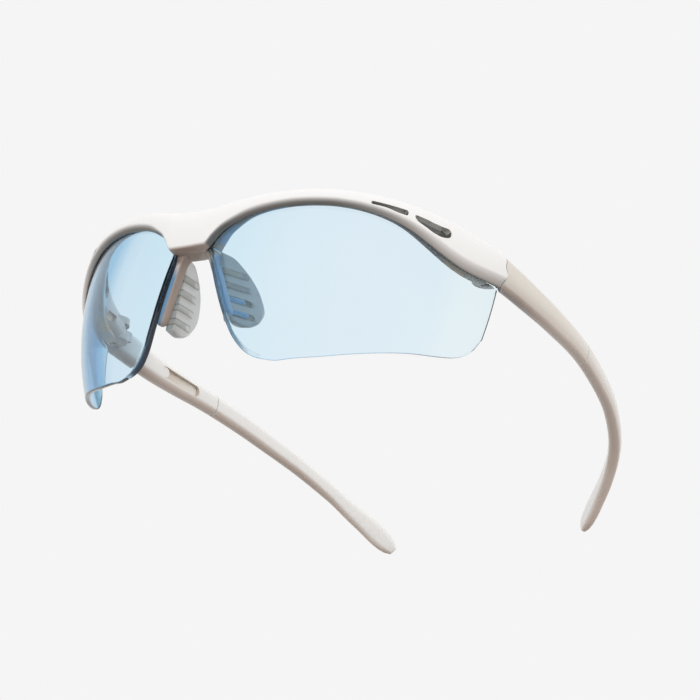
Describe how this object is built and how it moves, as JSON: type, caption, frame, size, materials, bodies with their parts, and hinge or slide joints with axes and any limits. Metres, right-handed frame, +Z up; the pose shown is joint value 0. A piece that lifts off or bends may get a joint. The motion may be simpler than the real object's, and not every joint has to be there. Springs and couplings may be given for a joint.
{
  "type": "protective sports glasses",
  "caption": "Half-rim sports glasses with wrapped pale blue lenses, soft nose pads and folding temples whose rear arms slide out of their sleeves.",
  "frame": {"origin": "middle of the bounding box on the level of its underside, where the glasses stand on the temple tips and, to within half a millimetre, on the lenses", "axes": "+X from the wearer's right to the wearer's left, +Y from the bridge back to the temple tips, +Z up"},
  "size_m": [0.1416, 0.1766, 0.0527],
  "materials": {
    "frame_plastic": "glossy white moulded nylon",
    "arm_plastic": "glossy white moulded nylon",
    "lens_plastic": "clear polished polycarbonate with a pale blue tint",
    "pad_rubber": "soft translucent elastomer",
    "screw_steel": "blackened steel"
  },
  "bodies": {
    "front": {"front_frame": "frame_plastic", "lens_left": "lens_plastic", "lens_right": "lens_plastic", "nose_pad_left": "pad_rubber", "nose_pad_right": "pad_rubber", "hinge_screw_left": "screw_steel", "hinge_screw_right": "screw_steel"},
    "sleeve_right": {"temple_sleeve_right": "frame_plastic"},
    "arm_right": {"temple_arm_right": "arm_plastic"},
    "sleeve_left": {"temple_sleeve_left": "frame_plastic"},
    "arm_left": {"temple_arm_left": "arm_plastic"}
  },
  "joints": [
    {"name": "temple_fold_right", "type": "hinge", "parent": "front", "child": "sleeve_right", "pos_m": [0.0642, -0.03103, 0.038], "axis": [0, 0, 1], "range_deg": [0, 74]},
    {"name": "temple_fold_left", "type": "hinge", "parent": "front", "child": "sleeve_left", "pos_m": [-0.0642, -0.03103, 0.038], "axis": [0, 0, -1], "range_deg": [0, 58]},
    {"name": "arm_slide_right", "type": "slide", "parent": "sleeve_right", "child": "arm_right", "axis": [-0.0958, 0.992, -0.0817], "range_m": [0, 0.015]},
    {"name": "arm_slide_left", "type": "slide", "parent": "sleeve_left", "child": "arm_left", "axis": [0.0958, 0.992, -0.0817], "range_m": [0, 0.015]}
  ]
}
